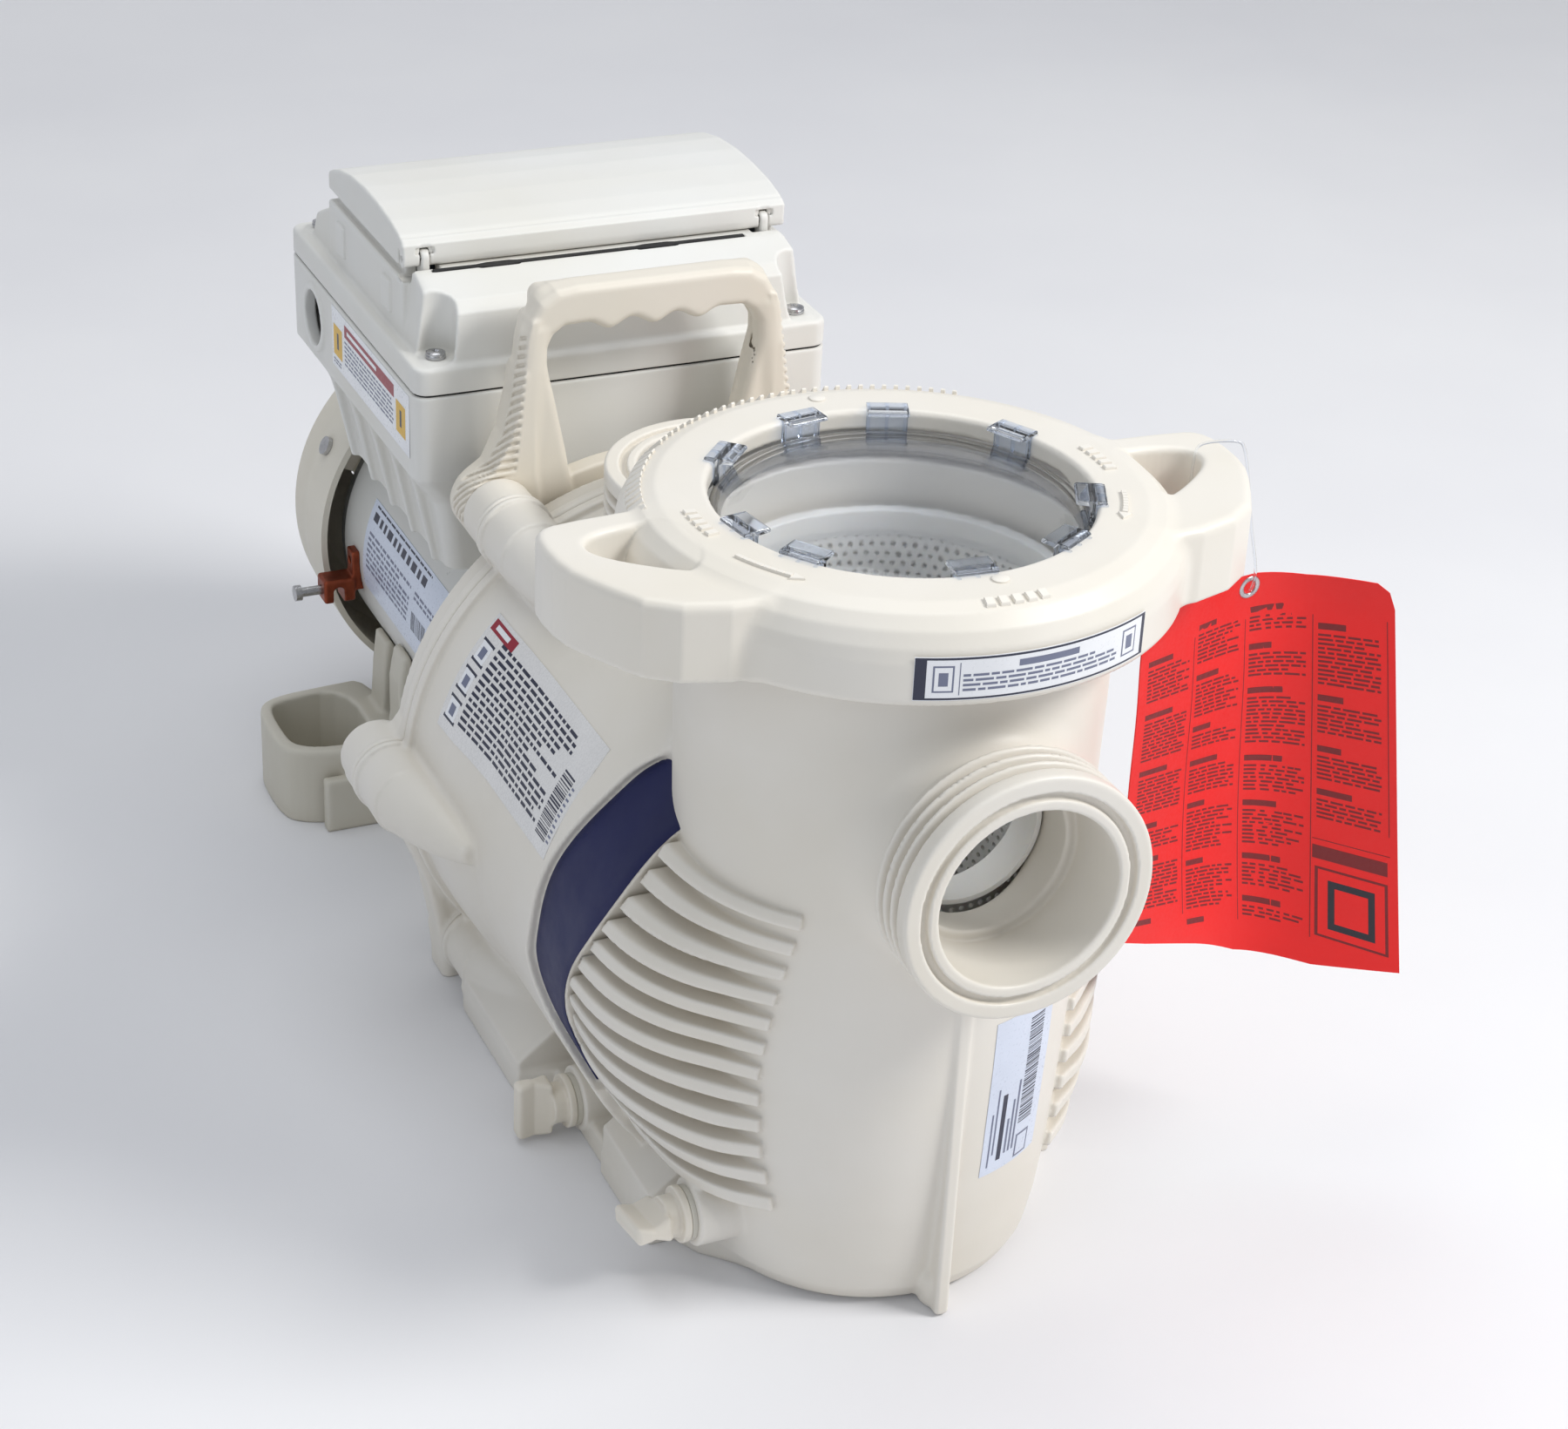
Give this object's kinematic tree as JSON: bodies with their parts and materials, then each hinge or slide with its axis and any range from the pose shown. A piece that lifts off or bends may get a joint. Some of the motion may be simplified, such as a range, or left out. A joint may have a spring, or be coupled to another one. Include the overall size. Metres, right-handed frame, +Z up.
{
  "type": "pool pump",
  "caption": "Variable-speed pool pump: strainer pot with twist-lock clear lid, end-suction volute, upward discharge, air-cooled motor and top-mounted drive with flip-up keypad lid.",
  "frame": {"origin": "on the floor plane, on the vertical axis of the strainer pot", "axes": "+Z up, -Y out of the suction port, +Y towards the motor, +X to the right seen from the suction port"},
  "size_m": [0.3874, 0.666, 0.3496],
  "materials": {
    "housing_plastic": "satin",
    "ring_plastic": "satin",
    "handle_plastic": "satin",
    "drive_plastic": "satin",
    "stand_plastic": "matte",
    "accent_navy": "satin",
    "clear_polycarbonate": "clear",
    "basket_plastic": "satin",
    "white_plastic": "satin",
    "black_rubber": "matte",
    "pale_seal": "matte",
    "zinc_steel": "satin",
    "cast_aluminium": "as cast",
    "motor_paint": "satin",
    "lamination_steel": "matte",
    "copper_wire": "satin",
    "lug_bronze": "satin",
    "dark_polymer": "matte",
    "ceramic": "polished",
    "board_green": "satin",
    "panel_grey": "satin",
    "display_glass": "clear",
    "button_red": "satin",
    "button_grey": "satin",
    "button_blue": "satin",
    "label_film": "satin",
    "tag_red": "satin",
    "clear_strap": "clear"
  },
  "bodies": {
    "pump": {"pump_housing": "housing_plastic", "accent_inserts": "accent_navy", "strainer_basket": "basket_plastic", "housing_oring": "black_rubber", "seal_plate": "housing_plastic", "housing_bolts": "zinc_steel", "diffuser": "dark_polymer", "seal_seat": "ceramic", "carry_handle": "handle_plastic", "motor_bolts": "zinc_steel", "motor_stand": "stand_plastic", "stand_screws": "zinc_steel", "front_end_bell": "cast_aluminium", "motor_shell": "motor_paint", "rear_end_bell": "cast_aluminium", "through_bolts": "zinc_steel", "stator_core": "lamination_steel", "stator_windings": "copper_wire", "front_bearing": "zinc_steel", "rear_bearing": "zinc_steel", "wave_spring": "zinc_steel", "fan_shroud": "handle_plastic", "shroud_screws": "zinc_steel", "bonding_lug": "lug_bronze", "bonding_screw": "zinc_steel", "drive_housing": "drive_plastic", "drive_cover": "drive_plastic", "drive_gasket": "black_rubber", "cover_screws": "zinc_steel", "circuit_board": "board_green", "heat_sink": "cast_aluminium", "capacitors": "dark_polymer", "terminal_block": "dark_polymer", "keypad_panel": "panel_grey", "display_window": "display_glass", "lid_hinge_pins": "zinc_steel", "rating_labels": "label_film"},
    "twist_lid": {"lid_clamp_ring": "ring_plastic", "lid_dome": "clear_polycarbonate", "lid_oring": "black_rubber", "ring_label": "label_film", "tag_loop": "clear_strap"},
    "tag": {"hang_tag": "tag_red"},
    "rotor": {"motor_shaft": "zinc_steel", "rotor_core": "lamination_steel", "impeller": "dark_polymer", "impeller_screw": "zinc_steel", "seal_rotary": "dark_polymer", "cooling_fan": "dark_polymer"},
    "pot_drain_seal": {"pot_drain_oring": "pale_seal"},
    "pot_drain": {"pot_drain_plug": "white_plastic"},
    "volute_drain_seal": {"volute_drain_oring": "pale_seal"},
    "volute_drain": {"volute_drain_plug": "white_plastic"},
    "keypad_cover": {"keypad_lid": "drive_plastic"},
    "button_start_stop": {"button_start_stop": "button_red"},
    "button_speed_1": {"button_speed_1": "button_grey"},
    "button_speed_2": {"button_speed_2": "button_grey"},
    "button_speed_3": {"button_speed_3": "button_grey"},
    "button_up": {"button_up": "button_blue"},
    "button_down": {"button_down": "button_blue"}
  },
  "joints": [
    {"name": "ring_turn", "type": "hinge", "parent": "pump", "child": "twist_lid", "pos_m": [0, 0, 0.33], "axis": [0, 0, 1], "range_deg": [0, 30]},
    {"name": "tag_twist", "type": "hinge", "parent": "twist_lid", "child": "tag", "pos_m": [0.152, -0.022, 0.288], "axis": [0, 0, 1], "range_deg": [0, 41]},
    {"name": "rotor_spin", "type": "hinge", "parent": "pump", "child": "rotor", "pos_m": [0, 0.3, 0.1196], "axis": [0, 1, 0], "continuous": true},
    {"name": "keypad_lid_hinge", "type": "hinge", "parent": "pump", "child": "keypad_cover", "pos_m": [0, 0.3335, 0.3315], "axis": [1, 0, 0], "range_deg": [0, 100]},
    {"name": "pot_drain_lift", "type": "slide", "parent": "pump", "child": "pot_drain_seal", "axis": [-1, 0, 0], "range_m": [0, 0.0081]},
    {"name": "pot_drain_turn", "type": "hinge", "parent": "pot_drain_seal", "child": "pot_drain", "pos_m": [-0.09, -0.021, 0.033], "axis": [-1, 0, 0], "range_deg": [0, 720]},
    {"name": "volute_drain_lift", "type": "slide", "parent": "pump", "child": "volute_drain_seal", "axis": [-1, 0, 0], "range_m": [0, 0.0081]},
    {"name": "volute_drain_turn", "type": "hinge", "parent": "volute_drain_seal", "child": "volute_drain", "pos_m": [-0.098, 0.093, 0.017], "axis": [-1, 0, 0], "range_deg": [0, 720]},
    {"name": "press_start_stop", "type": "slide", "parent": "pump", "child": "button_start_stop", "axis": [0, 0, -1], "range_m": [0, 0.001]},
    {"name": "press_speed_1", "type": "slide", "parent": "pump", "child": "button_speed_1", "axis": [0, 0, -1], "range_m": [0, 0.001]},
    {"name": "press_speed_2", "type": "slide", "parent": "pump", "child": "button_speed_2", "axis": [0, 0, -1], "range_m": [0, 0.001]},
    {"name": "press_speed_3", "type": "slide", "parent": "pump", "child": "button_speed_3", "axis": [0, 0, -1], "range_m": [0, 0.001]},
    {"name": "press_up", "type": "slide", "parent": "pump", "child": "button_up", "axis": [0, 0, -1], "range_m": [0, 0.001]},
    {"name": "press_down", "type": "slide", "parent": "pump", "child": "button_down", "axis": [0, 0, -1], "range_m": [0, 0.001]}
  ],
  "couplings": [
    {"joint": "tag_twist", "follows": "ring_turn", "ratio": 1.3333},
    {"joint": "pot_drain_lift", "follows": "pot_drain_turn", "m_per_rad": 0.00063662},
    {"joint": "volute_drain_lift", "follows": "volute_drain_turn", "m_per_rad": 0.00063662}
  ]
}
